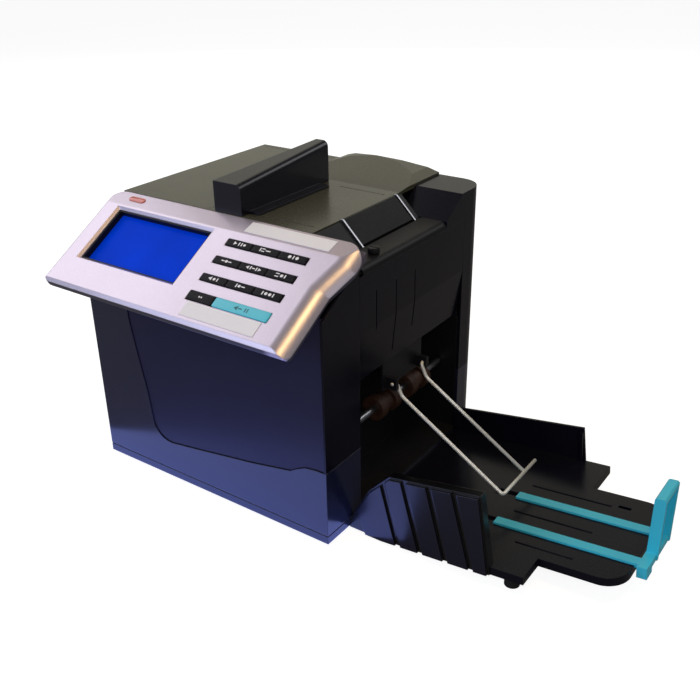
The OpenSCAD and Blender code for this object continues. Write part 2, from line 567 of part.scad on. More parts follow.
module cover_screws() color("#c0c2c6") place() for (p = [[14, 92], [W - 42, 92], [14, H - 14], [W - 42, H - 14]])
  difference() {
    translate([p[0], D + 1.2, p[1]]) rotate([90, 0, 0]) cylinder(h = 1.2, r = 3.4);
    box(p[0] - 2.4, p[0] + 2.4, D + 0.6, D + 2, p[1] - 0.4, p[1] + 0.4);
    box(p[0] - 0.4, p[0] + 0.4, D + 0.6, D + 2, p[1] - 2.4, p[1] + 2.4);
  }
base_pan();
front_panel();
left_cover();
rear_cover();
right_front_cheek();
exit_side_panel();
rear_corner_cover();
top_cover();
hopper_plate();
feed_chute();
chute_trims();
throat_surround();
feed_ledge();
console_underplate();
console_bezel();
display_liner();
display_window();
display_module();
keypad_board();
upper_label_plate();
lower_label_plate();
oval_badge();
key_r1_left();
key_r1_mid();
key_r1_right();
key_r2_left();
key_r2_mid();
key_r2_right();
key_r3_left();
key_r3_mid();
key_r3_right();
key_r4_small();
key_r4_wide();
hopper_guide();
thickness_screw();
stacker_well();
bail_bracket();
wire_bail();
tray_base();
tray_front_wall();
tray_rear_wall();
tray_feet();
note_stop();
side_frames();
feed_shaft();
feed_rollers();
exit_shaft();
exit_rollers();
motor();
motor_pulley();
drive_belts();
sensor_bar();
power_supply();
main_board();
mains_inlet();
switch_body();
rocker_switch();
body_feet();
cover_screws();
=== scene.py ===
"""Desktop banknote counting machine: finishes, fine pieces, light and camera."""
import json
import math

import bpy
import numpy as np
from mathutils import Matrix, Vector


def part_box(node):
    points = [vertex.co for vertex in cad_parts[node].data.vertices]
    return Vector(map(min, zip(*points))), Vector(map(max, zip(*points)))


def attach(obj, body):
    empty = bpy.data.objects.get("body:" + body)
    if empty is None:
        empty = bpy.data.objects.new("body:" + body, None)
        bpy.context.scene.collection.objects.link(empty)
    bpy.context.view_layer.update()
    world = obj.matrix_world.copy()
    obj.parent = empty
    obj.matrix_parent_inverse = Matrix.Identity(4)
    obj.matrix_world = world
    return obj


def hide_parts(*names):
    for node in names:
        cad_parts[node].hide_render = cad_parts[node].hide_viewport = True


bl_info = {
    "name": "Banknote Counter",
    "version": (1, 0, 0),
    "blender": (4, 5, 0),
    "location": "3D View > Sidebar > Counter",
    "description": "Finishes a desktop banknote counting machine and adds its fine pieces",
    "category": "Object",
}

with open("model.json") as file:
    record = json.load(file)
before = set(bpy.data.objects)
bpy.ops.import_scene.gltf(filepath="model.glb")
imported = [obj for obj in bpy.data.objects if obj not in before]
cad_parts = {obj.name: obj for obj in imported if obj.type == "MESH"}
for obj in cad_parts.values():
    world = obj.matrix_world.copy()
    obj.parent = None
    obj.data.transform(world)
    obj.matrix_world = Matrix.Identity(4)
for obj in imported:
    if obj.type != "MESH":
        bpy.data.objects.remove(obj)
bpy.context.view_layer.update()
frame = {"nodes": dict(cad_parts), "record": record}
NODES = frame["nodes"]
BODIES = frame["record"]["behaviour"]["bodies"]
BODY_OF = {node: body for body, nodes in BODIES.items() for node in nodes}

# ---- the machine's own axes, taken from the frame ----
PAN_LOW, PAN_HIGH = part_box("base_pan")
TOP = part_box("top_cover")[1].z
ORIGIN = Vector((PAN_LOW.x, PAN_LOW.y, 0.0))  # front left foot of the body's plan
FACE_TILT = math.radians(30.7)  # slope of the console's face
STRIP_BEND = math.radians(-12.0)  # how much flatter the strip above it lies
FACE_FRONT = -0.0437  # front edge of the face, from the pan's front
FACE_DROP = 0.0573  # that edge's height, below the top cover
FACE_LENGTH = 0.0992  # front edge to the bend, up the slope
CONSOLE = Matrix.Translation(ORIGIN + Vector((0, FACE_FRONT, TOP - FACE_DROP))) @ Matrix.Rotation(FACE_TILT, 4, "X")
STRIP = CONSOLE @ Matrix.Translation((0, FACE_LENGTH, 0)) @ Matrix.Rotation(STRIP_BEND, 4, "X")
PAINT_LINE = (0.0040, -0.0026, 0.268)  # where the silver paint stops on the lip: up the slope, out, to the right
SIGN_GRID = 0.00122  # one unit of the key signs

OWN_FINISH = {"tray_front_wall": "tray_navy", "hopper_guide": "guide_gloss"}  # others take their slot's finish
KEYS = [
    "key_r1_left", "key_r1_mid", "key_r1_right", "key_r2_left", "key_r2_mid", "key_r2_right",
    "key_r3_left", "key_r3_mid", "key_r3_right", "key_r4_small", "key_r4_wide",
]


# ---------------------------------------------------------------- mesh tools
def make_piece(name, points, faces, material, body, smooth=True):
    """Puts points (n x 3) and faces (lists of indices) into a mesh that rides on a body."""
    mesh = bpy.data.meshes.new(name)
    mesh.from_pydata(np.asarray(points, float).tolist(), [], faces)
    mesh.validate()
    mesh.polygons.foreach_set("use_smooth", [smooth] * len(mesh.polygons))
    mesh.materials.append(material)
    mesh.update()
    piece = bpy.data.objects.new(name, mesh)
    bpy.context.scene.collection.objects.link(piece)
    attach(piece, body)
    return piece


def grid_faces(rows, cols, start=0, wrap=True, flip=False):
    """Quads of a grid of rows x cols points, row by row; wrap joins the last column to the first."""
    last = cols if wrap else cols - 1
    i, j = np.meshgrid(np.arange(rows - 1), np.arange(last), indexing="ij")
    a = start + i * cols + j
    b = start + i * cols + (j + 1) % cols
    quads = np.stack([a, b, b + cols, a + cols], -1).reshape(-1, 4)
    return (quads[:, ::-1] if flip else quads).tolist()


def placed(matrix, points):
    """The points (n x 3) carried by a 4 x 4 matrix."""
    m = np.array(matrix)
    return points @ m[:3, :3].T + m[:3, 3]


def round_rectangle(half_x, half_y, radius, count=10):
    """Outline of a rectangle whose corners are quarter circles, anticlockwise, count points a corner:
    corner centre + radius * (cos a, sin a), with a from 0 to 90 degrees plus a quarter turn a corner."""
    a = np.linspace(0, math.pi / 2, count)
    signs = [(1, 1), (-1, 1), (-1, -1), (1, -1)]
    parts = [
        np.stack([sx * (half_x - radius) + radius * np.cos(a + k * math.pi / 2),
                  sy * (half_y - radius) + radius * np.sin(a + k * math.pi / 2)], -1)
        for k, (sx, sy) in enumerate(signs)
    ]
    return np.concatenate(parts)


def cushion_block(centre, half_x, half_y, low, high, radius, edge, crown, steps=5):
    """Closed block on a rounded rectangle. Its rings are the outline, moved in along a quarter circle
    of radius edge up to height high, then drawn in to the middle while the height rises by
    crown * (1 - f * f), where f runs from 1 at the edge to 0 at the middle. Returns points, faces."""
    outer = round_rectangle(half_x, half_y, radius)
    rings, heights = [outer, outer], [low, high - edge]
    for a in np.linspace(0, math.pi / 2, steps)[1:]:
        inset = edge * (1 - math.cos(a))
        rings.append(round_rectangle(half_x - inset, half_y - inset, max(radius - inset, 2e-4)))
        heights.append(high - edge + edge * math.sin(a))
    inner = rings[-1]
    for f in (0.85, 0.6, 0.3):
        rings.append(inner * f)
        heights.append(high + crown * (1 - f * f))
    n = len(outer)
    pts = np.concatenate([np.c_[r, np.full(n, h)] for r, h in zip(rings, heights)])
    faces = grid_faces(len(rings), n)
    top, bottom = len(pts), len(pts) + 1
    pts = np.vstack([pts, [0, 0, high + crown], [0, 0, low]])
    last = (len(rings) - 1) * n
    faces += [[last + k, last + (k + 1) % n, top] for k in range(n)]
    faces += [[(k + 1) % n, k, bottom] for k in range(n)]
    return pts + np.asarray(centre, float), faces


def turned(profile, axis_point, axis, count=64, ripple=None):
    """Surface of revolution. The profile is a closed loop of (radius, place along the axis), and each
    point goes to axis point + radius * (cos a, sin a) + place * axis; ripple(a, place) scales radius."""
    profile = np.asarray(profile, float)
    a = np.arange(count) * 2 * math.pi / count
    r = np.repeat(profile[:, :1], count, 1)
    if ripple is not None:
        r = r * ripple(a[None, :], profile[:, 1:2])
    along = np.repeat(profile[:, 1:2], count, 1)
    u, v = r * np.cos(a), r * np.sin(a)
    if axis == "Y":
        pts = np.stack([u, along, -v], -1)
    else:
        pts = np.stack([u, v, along], -1)
    rows = len(profile)
    i, j = np.meshgrid(np.arange(rows), np.arange(count), indexing="ij")
    below, beside = (i + 1) % rows, (j + 1) % count
    faces = np.stack([i * count + j, i * count + beside, below * count + beside, below * count + j], -1)
    return pts.reshape(-1, 3) + np.asarray(axis_point, float), faces.reshape(-1, 4).tolist()


def swept_tube(path, radius, count=16):
    """Round tube along a polyline: every point of the path carries a circle of that radius in the
    plane across the path, whose first axis is the last one's, made square to the new direction."""
    path = np.asarray(path, float)
    ahead = np.gradient(path, axis=0)
    ahead /= np.linalg.norm(ahead, axis=1)[:, None]
    side = np.cross(ahead[0], [0.3, 0.2, 1.0])
    frames = []
    for d in ahead:
        side = side - d * side.dot(d)
        side /= np.linalg.norm(side)
        frames.append((side, np.cross(d, side)))
    a = np.arange(count) * 2 * math.pi / count
    circle = [p + radius * (np.outer(np.cos(a), s) + np.outer(np.sin(a), t))
              for p, (s, t) in zip(path, frames)]
    pts = np.concatenate(circle)
    faces = grid_faces(len(path), count)
    n = len(pts)
    pts = np.vstack([pts, path[0] - ahead[0] * radius * 0.4, path[-1] + ahead[-1] * radius * 0.4])
    faces += [[(k + 1) % count, k, n] for k in range(count)]
    last = (len(path) - 1) * count
    faces += [[last + k, last + (k + 1) % count, n + 1] for k in range(count)]
    return pts, faces


def gathered(shapes):
    """Several (points, faces) put together, each shape's indices raised by the points before it."""
    start = np.cumsum([0] + [len(points) for points, _ in shapes])
    faces = [[k + int(first) for k in face] for (_, part), first in zip(shapes, start) for face in part]
    return np.vstack([points for points, _ in shapes]), faces


def filleted(corners, radius, steps=7):
    """A polyline with each inner corner replaced by a curve: the quadratic Bezier whose ends are
    radius away from the corner along its two sides, or half the side where that is shorter."""
    c = np.asarray(corners, float)
    out = [c[0]]
    for before, corner, after in zip(c[:-2], c[1:-1], c[2:]):
        d0, d1 = before - corner, after - corner
        l0, l1 = np.linalg.norm(d0), np.linalg.norm(d1)
        a = corner + d0 / l0 * min(radius, l0 / 2)
        b = corner + d1 / l1 * min(radius, l1 / 2)
        s = np.linspace(0, 1, steps)[:, None]
        out += list((1 - s) ** 2 * a + 2 * s * (1 - s) * corner + s * s * b)
    out.append(c[-1])
    return np.array(out)


def thin_prism(outlines, matrix, low, high):
    """Flat outlines (lists of (x, y), anticlockwise) drawn up from low to high and closed."""
    shapes = []
    for outline in outlines:
        o = np.asarray(outline, float)
        n = len(o)
        walls = [[k, (k + 1) % n, n + (k + 1) % n, n + k] for k in range(n)]
        shapes.append((np.vstack([np.c_[o, np.full(n, low)], np.c_[o, np.full(n, high)]]),
                       walls + [list(range(n, 2 * n)), list(range(n - 1, -1, -1))]))
    points, faces = gathered(shapes)
    return placed(matrix, points), faces


# ---------------------------------------------------------------- shader tools
def add_node(tree, kind, inputs=None, **settings):
    """Adds a shader node, sets its settings by name and its inputs by name or number."""
    node = tree.nodes.new(kind)
    for key, value in settings.items():
        setattr(node, key, value)
    for key, value in (inputs or {}).items():
        if isinstance(value, bpy.types.NodeSocket):
            tree.links.new(value, node.inputs[key])
        else:
            node.inputs[key].default_value = value
    return node


def new_group(name, inputs, outputs):
    """A shader node group with named sockets; returns the group, its input node and output node."""
    group = bpy.data.node_groups.new(name, "ShaderNodeTree")
    for kind, label, value in inputs:
        socket = group.interface.new_socket(label, in_out="INPUT", socket_type="NodeSocket" + kind)
        socket.default_value = value
    for kind, label in outputs:
        group.interface.new_socket(label, in_out="OUTPUT", socket_type="NodeSocket" + kind)
    return group, group.nodes.new("NodeGroupInput"), group.nodes.new("NodeGroupOutput")


def maths(tree, operation, a, b=0.0, clamp=False):
    """One Math node; returns its output."""
    return add_node(tree, "ShaderNodeMath", {0: a, 1: b}, operation=operation, use_clamp=clamp).outputs[0]


def object_place(tree):
    """The place on the object, in metres, as a vector socket."""
    return add_node(tree, "ShaderNodeTexCoord").outputs["Object"]


def ramp(tree, value, low, high, to_low=0.0, to_high=1.0):
    """One Map Range node from low..high to to_low..to_high, held at both ends; returns its output."""
    return add_node(tree, "ShaderNodeMapRange", {"Value": value, "From Min": low, "From Max": high,
                                                 "To Min": to_low, "To Max": to_high}).outputs[0]


def relief_group():
    """Surface relief: soft edges, fine moulded grain and the slow waves of a moulded panel."""
    group, put, out = new_group(
        "Surface relief",
        [("Float", "Edge radius", 0.0005), ("Float", "Grain scale", 1500.0), ("Float", "Grain depth", 0.00001),
         ("Float", "Wave scale", 18.0), ("Float", "Wave depth", 0.0002), ("Vector", "Stretch", (1, 1, 1))],
        [("Vector", "Normal"), ("Float", "Edge")],
    )
    place = object_place(group)
    drawn = add_node(group, "ShaderNodeVectorMath", {0: place, 1: put.outputs["Stretch"]}, operation="MULTIPLY")
    grain = add_node(group, "ShaderNodeTexNoise",
                     {"Vector": drawn.outputs[0], "Scale": put.outputs["Grain scale"], "Detail": 3.0})
    wave = add_node(group, "ShaderNodeTexNoise",
                    {"Vector": place, "Scale": put.outputs["Wave scale"], "Detail": 1.0})
    height = maths(group, "ADD", maths(group, "MULTIPLY", grain.outputs["Fac"], put.outputs["Grain depth"]),
                   maths(group, "MULTIPLY", wave.outputs["Fac"], put.outputs["Wave depth"]))
    soft = add_node(group, "ShaderNodeBevel", {"Radius": put.outputs["Edge radius"]}, samples=6)
    bump = add_node(group, "ShaderNodeBump",
                    {"Height": height, "Distance": 1.0, "Strength": 1.0, "Normal": soft.outputs[0]})
    flat = add_node(group, "ShaderNodeNewGeometry")
    turn = add_node(group, "ShaderNodeVectorMath", {0: soft.outputs[0], 1: flat.outputs["True Normal"]},
                    operation="DOT_PRODUCT")
    edge = maths(group, "MULTIPLY", maths(group, "SUBTRACT", 1.0, turn.outputs["Value"]), 4.0, clamp=True)
    group.links.new(bump.outputs[0], out.inputs["Normal"])
    group.links.new(edge, out.inputs["Edge"])
    return group


def handling_group():
    """Handling: roughness that drifts in smudges, and dust that settles on surfaces facing up."""
    group, put, out = new_group(
        "Handling marks",
        [("Float", "Roughness", 0.3), ("Float", "Smudge", 0.08), ("Float", "Smudge scale", 22.0),
         ("Float", "Dust", 0.1)],
        [("Float", "Roughness"), ("Float", "Dust")],
    )
    place = object_place(group)
    blot = add_node(group, "ShaderNodeTexNoise",
                    {"Vector": place, "Scale": put.outputs["Smudge scale"], "Detail": 4.0, "Distortion": 0.6})
    drift = maths(group, "MULTIPLY", maths(group, "SUBTRACT", blot.outputs["Fac"], 0.5), put.outputs["Smudge"])
    specks = add_node(group, "ShaderNodeTexNoise", {"Vector": place, "Scale": 900.0, "Detail": 2.0})
    veil = add_node(group, "ShaderNodeTexNoise", {"Vector": place, "Scale": 12.0, "Detail": 3.0})
    split = add_node(group, "ShaderNodeSeparateXYZ",
                     {0: add_node(group, "ShaderNodeNewGeometry").outputs["Normal"]})
    up = maths(group, "POWER", maths(group, "MAXIMUM", split.outputs["Z"], 0.0), 2.0)
    grains = ramp(group, specks.outputs["Fac"], 0.5, 0.72)
    amount = maths(group, "MULTIPLY", maths(group, "MULTIPLY", up, grains), veil.outputs["Fac"])
    dust = maths(group, "MULTIPLY", amount, put.outputs["Dust"], clamp=True)
    rough = maths(group, "ADD", maths(group, "ADD", put.outputs["Roughness"], drift),
                  maths(group, "MULTIPLY", dust, 0.4), clamp=True)
    group.links.new(rough, out.inputs["Roughness"])
    group.links.new(dust, out.inputs["Dust"])
    return group


def colour_group():
    """Worn colour: a slow drift of brightness, a second colour on worn edges, and pale dust."""
    group, put, out = new_group(
        "Worn colour",
        [("Color", "Colour", (0.1, 0.1, 0.1, 1)), ("Color", "Edge colour", (0.3, 0.3, 0.3, 1)),
         ("Float", "Drift", 0.1), ("Float", "Edge amount", 0.2), ("Float", "Edge", 0.0), ("Float", "Dust", 0.0)],
        [("Color", "Colour")],
    )
    place = object_place(group)
    slow = add_node(group, "ShaderNodeTexNoise", {"Vector": place, "Scale": 30.0, "Detail": 5.0})
    level = maths(group, "ADD", 1.0, maths(group, "MULTIPLY", maths(group, "SUBTRACT", slow.outputs["Fac"], 0.5),
                                           put.outputs["Drift"]))
    shade = add_node(group, "ShaderNodeVectorMath", {0: put.outputs["Colour"]}, operation="SCALE")
    group.links.new(level, shade.inputs["Scale"])
    chips = add_node(group, "ShaderNodeTexNoise", {"Vector": place, "Scale": 260.0, "Detail": 3.0})
    worn = maths(group, "MULTIPLY", maths(group, "MULTIPLY", put.outputs["Edge"], put.outputs["Edge amount"]),
                 maths(group, "ADD", chips.outputs["Fac"], 0.25), clamp=True)
    edge = add_node(group, "ShaderNodeMix", data_type="RGBA")
    group.links.new(worn, edge.inputs[0])
    group.links.new(shade.outputs[0], edge.inputs[6])
    group.links.new(put.outputs["Edge colour"], edge.inputs[7])
    dusty = add_node(group, "ShaderNodeMix", {7: (0.55, 0.53, 0.50, 1)}, data_type="RGBA")
    group.links.new(put.outputs["Dust"], dusty.inputs[0])
    group.links.new(edge.outputs[2], dusty.inputs[6])
    group.links.new(dusty.outputs[2], out.inputs["Colour"])
    return group


GROUPS = {}


def finish(name, colour, rough=0.3, metal=0.0, gloss=0.5, coat=0.0, ior=1.5, edge=0.0005, grain=(1500.0, 0.00001),
           wave=(18.0, 0.0002), stretch=(1, 1, 1), drift=0.15, wear=(None, 0.2), smudge=0.08, dust=0.1,
           pattern=None):
    """One material: Principled, fed by the three shared groups. pattern(tree, colour socket) may lay
    a further pattern over the colour. Steady values are set on the shader's own sockets."""
    if name in bpy.data.materials:
        return bpy.data.materials[name]
    material = bpy.data.materials.new(name)
    material.use_nodes = True
    tree = material.node_tree
    shader = tree.nodes["Principled BSDF"]
    relief = add_node(tree, "ShaderNodeGroup", node_tree=GROUPS["relief"])
    marks = add_node(tree, "ShaderNodeGroup", node_tree=GROUPS["handling"])
    tint = add_node(tree, "ShaderNodeGroup", node_tree=GROUPS["colour"])
    for label, value in (("Edge radius", edge), ("Grain scale", grain[0]), ("Grain depth", grain[1]),
                         ("Wave scale", wave[0]), ("Wave depth", wave[1]), ("Stretch", stretch)):
        relief.inputs[label].default_value = value
    for label, value in (("Roughness", rough), ("Smudge", smudge), ("Dust", dust)):
        marks.inputs[label].default_value = value
    worn = wear[0] or tuple(min(1.0, c * 1.8 + 0.02) for c in colour)
    for label, value in (("Colour", (*colour, 1)), ("Edge colour", (*worn, 1)), ("Drift", drift),
                         ("Edge amount", wear[1])):
        tint.inputs[label].default_value = value
    tree.links.new(relief.outputs["Edge"], tint.inputs["Edge"])
    tree.links.new(marks.outputs["Dust"], tint.inputs["Dust"])
    tree.links.new(marks.outputs["Roughness"], shader.inputs["Roughness"])
    tree.links.new(relief.outputs["Normal"], shader.inputs["Normal"])
    base = tint.outputs["Colour"]
    if pattern is not None:
        base = pattern(tree, base)
    tree.links.new(base, shader.inputs["Base Color"])
    shader.inputs["Metallic"].default_value = metal
    shader.inputs["Specular IOR Level"].default_value = gloss
    shader.inputs["IOR"].default_value = ior
    if coat:
        shader.inputs["Coat Weight"].default_value = coat
        shader.inputs["Coat Roughness"].default_value = 0.08
    return material


def blend_colour(tree, mask, under, over):
    """Mixes a colour over another by a mask; returns the colour socket."""
    mix = add_node(tree, "ShaderNodeMix", {7: (*over, 1)}, data_type="RGBA")
    tree.links.new(mask, mix.inputs[0])
    tree.links.new(under, mix.inputs[6])
    return mix.outputs[2]


def paint_flakes(tree, base):
    """Fine bright metal flakes in the silver paint."""
    place = object_place(tree)
    cells = add_node(tree, "ShaderNodeTexVoronoi", {"Vector": place, "Scale": 2600.0})
    split = add_node(tree, "ShaderNodeSeparateColor", {0: cells.outputs["Color"]})
    return blend_colour(tree, ramp(tree, split.outputs[0], 0.8, 1.0, 0.0, 0.3), base, (0.92, 0.88, 0.95))


def console_paint(tree, base):
    """Silver paint with its flakes, stopping at a paint line on the front lip. In the console's own
    axes, the grey moulding shows below and in front of the line, and fades out at its right end."""
    silver = paint_flakes(tree, base)
    origin = add_node(tree, "ShaderNodeVectorMath", {0: object_place(tree), 1: tuple(CONSOLE.translation)},
                      operation="SUBTRACT").outputs[0]
    line_u, line_n, line_x = PAINT_LINE
    axes = CONSOLE.to_3x3()
    n = add_node(tree, "ShaderNodeVectorMath", {0: origin, 1: tuple(axes.col[2])}, operation="DOT_PRODUCT")
    u = add_node(tree, "ShaderNodeVectorMath", {0: origin, 1: tuple(axes.col[1])}, operation="DOT_PRODUCT")
    split = add_node(tree, "ShaderNodeSeparateXYZ", {0: origin})
    under = ramp(tree, n.outputs["Value"], line_n + 0.0002, line_n - 0.0002)
    front = ramp(tree, u.outputs["Value"], line_u + 0.0002, line_u - 0.0002)
    left = ramp(tree, split.outputs["X"], line_x + 0.004, line_x - 0.004)
    lip = maths(tree, "MULTIPLY", maths(tree, "MULTIPLY", under, front), left)
    return blend_colour(tree, lip, silver, (0.085, 0.080, 0.105))


def groove_painted_shade(tree, base):
    """Painted shade in the slanted grooves of the tray's front wall: the colour darkens to near black from 0.8
    to 1.4 mm behind the pads' face, measured along Y, standing in for the shade that falls in the recesses."""
    split = add_node(tree, "ShaderNodeSeparateXYZ", {0: object_place(tree)})
    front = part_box("tray_front_wall")[0].y
    mask = ramp(tree, split.outputs["Y"], front + 0.0008, front + 0.0014)
    # painted shade: the groove floors are set near black
    return blend_colour(tree, mask, base, (0.003, 0.003, 0.004))


def board_tracks(tree, base):
    """Copper tracks under the solder mask: a brick pattern with thin paler joints."""
    place = object_place(tree)
    brick = add_node(tree, "ShaderNodeTexBrick",
                     {"Vector": place, "Scale": 160.0, "Color1": (0, 0, 0, 1), "Color2": (0, 0, 0, 1),
                      "Mortar": (1, 1, 1, 1), "Mortar Size": 0.02, "Brick Width": 0.9, "Row Height": 0.35})
    split = add_node(tree, "ShaderNodeSeparateColor", {0: brick.outputs["Color"]})
    return blend_colour(tree, maths(tree, "MULTIPLY", split.outputs[0], 0.5), base, (0.10, 0.34, 0.14))


def paper_fibres(tree, base):
    """Faint fibres of a printed paper label."""
    place = object_place(tree)
    drawn = add_node(tree, "ShaderNodeVectorMath", {0: place, 1: (1.0, 0.25, 0.25)}, operation="MULTIPLY")
    fibre = add_node(tree, "ShaderNodeTexNoise", {"Vector": drawn.outputs[0], "Scale": 2200.0, "Detail": 4.0})
    return blend_colour(tree, ramp(tree, fibre.outputs["Fac"], 0.55, 0.75, 0.0, 0.25), base, (0.70, 0.71, 0.73))


def display_material():
    """Back-lit blue display: dot grid and uneven glow under a glossy sheet."""
    material = bpy.data.materials.new("Blue display")
    material.use_nodes = True
    tree = material.node_tree
    shader = tree.nodes["Principled BSDF"]
    place = object_place(tree)
    glow = add_node(tree, "ShaderNodeTexNoise", {"Vector": place, "Scale": 14.0, "Detail": 2.0})
    dots = add_node(tree, "ShaderNodeTexChecker", {"Vector": place, "Scale": 1400.0,
                                                   "Color1": (1, 1, 1, 1), "Color2": (0.82, 0.82, 0.82, 1)})
    tone = add_node(tree, "ShaderNodeVectorMath", {0: dots.outputs["Color"]}, operation="SCALE")
    tree.links.new(ramp(tree, glow.outputs["Fac"], 0.3, 0.7, 0.82, 1.12), tone.inputs["Scale"])
    blue = add_node(tree, "ShaderNodeVectorMath", {0: tone.outputs[0], 1: (0.0, 0.035, 0.52)},
                    operation="MULTIPLY")
    tree.links.new(blue.outputs[0], shader.inputs["Base Color"])
    tree.links.new(blue.outputs[0], shader.inputs["Emission Color"])
    shader.inputs["Emission Strength"].default_value = 0.55
    shader.inputs["Roughness"].default_value = 0.3
    shader.inputs["Specular IOR Level"].default_value = 0.015
    return material


# ---------------------------------------------------------------- sizes and colours a user may change
class CounterSizes(bpy.types.PropertyGroup):
    """Sizes of the fine pieces."""

    key_crown: bpy.props.FloatProperty(name="Key crown", description="Rise of a key's top in its middle",
                                       default=0.00015, unit="LENGTH")
    key_edge: bpy.props.FloatProperty(name="Key edge", description="Radius round the top of a key",
                                      default=0.0006, unit="LENGTH")
    wire_radius: bpy.props.FloatProperty(name="Wire radius", description="Radius of the bail's wire",
                                         default=0.00175, unit="LENGTH")
    bend_radius: bpy.props.FloatProperty(name="Wire bend", description="Length over which the bail's wire bends",
                                         default=0.004, unit="LENGTH")
    tyre_groove: bpy.props.FloatProperty(name="Tyre groove", description="Depth of the grooves in the exit tyres",
                                         default=0.0005, unit="LENGTH")
    badge_rise: bpy.props.FloatProperty(name="Badge rise", description="Height of the badge's dome",
                                        default=0.0004, unit="LENGTH")


class CounterColours(bpy.types.PropertyGroup):
    """Colours of the main finishes."""

    def colour(name, description, default):
        return bpy.props.FloatVectorProperty(name=name, description=description, size=3, min=0.0, max=1.0,
                                             subtype="COLOR", default=default)

    navy: colour("Navy shell", "Gloss plastic of the front panel", (0.021, 0.020, 0.047))
    pan: colour("Pan", "Blue-black plastic of the lower pan", (0.011, 0.013, 0.034))
    tray: colour("Tray wall", "Navy plastic of the tray's front wall", (0.005, 0.006, 0.018))
    black: colour("Black shell", "Gloss plastic of the covers", (0.005, 0.0045, 0.010))
    olive: colour("Olive top", "Gloss plastic of the top covers", (0.060, 0.061, 0.038))
    silver: colour("Silver paint", "Metallic paint of the console", (0.60, 0.54, 0.62))
    teal: colour("Teal plastic", "Moulding of the note stop", (0.055, 0.66, 0.88))
    teal_key: colour("Teal key", "Wide key", (0.10, 0.64, 0.78))
    badge: colour("Badge", "Domed badge", (0.55, 0.07, 0.02))
    tyre: colour("Exit tyre", "Brown rubber of the exit rollers", (0.045, 0.017, 0.008))


def sizes():
    """The sizes in use."""
    return bpy.context.scene.counter_sizes


def colours():
    """The colours in use."""
    return bpy.context.scene.counter_colours


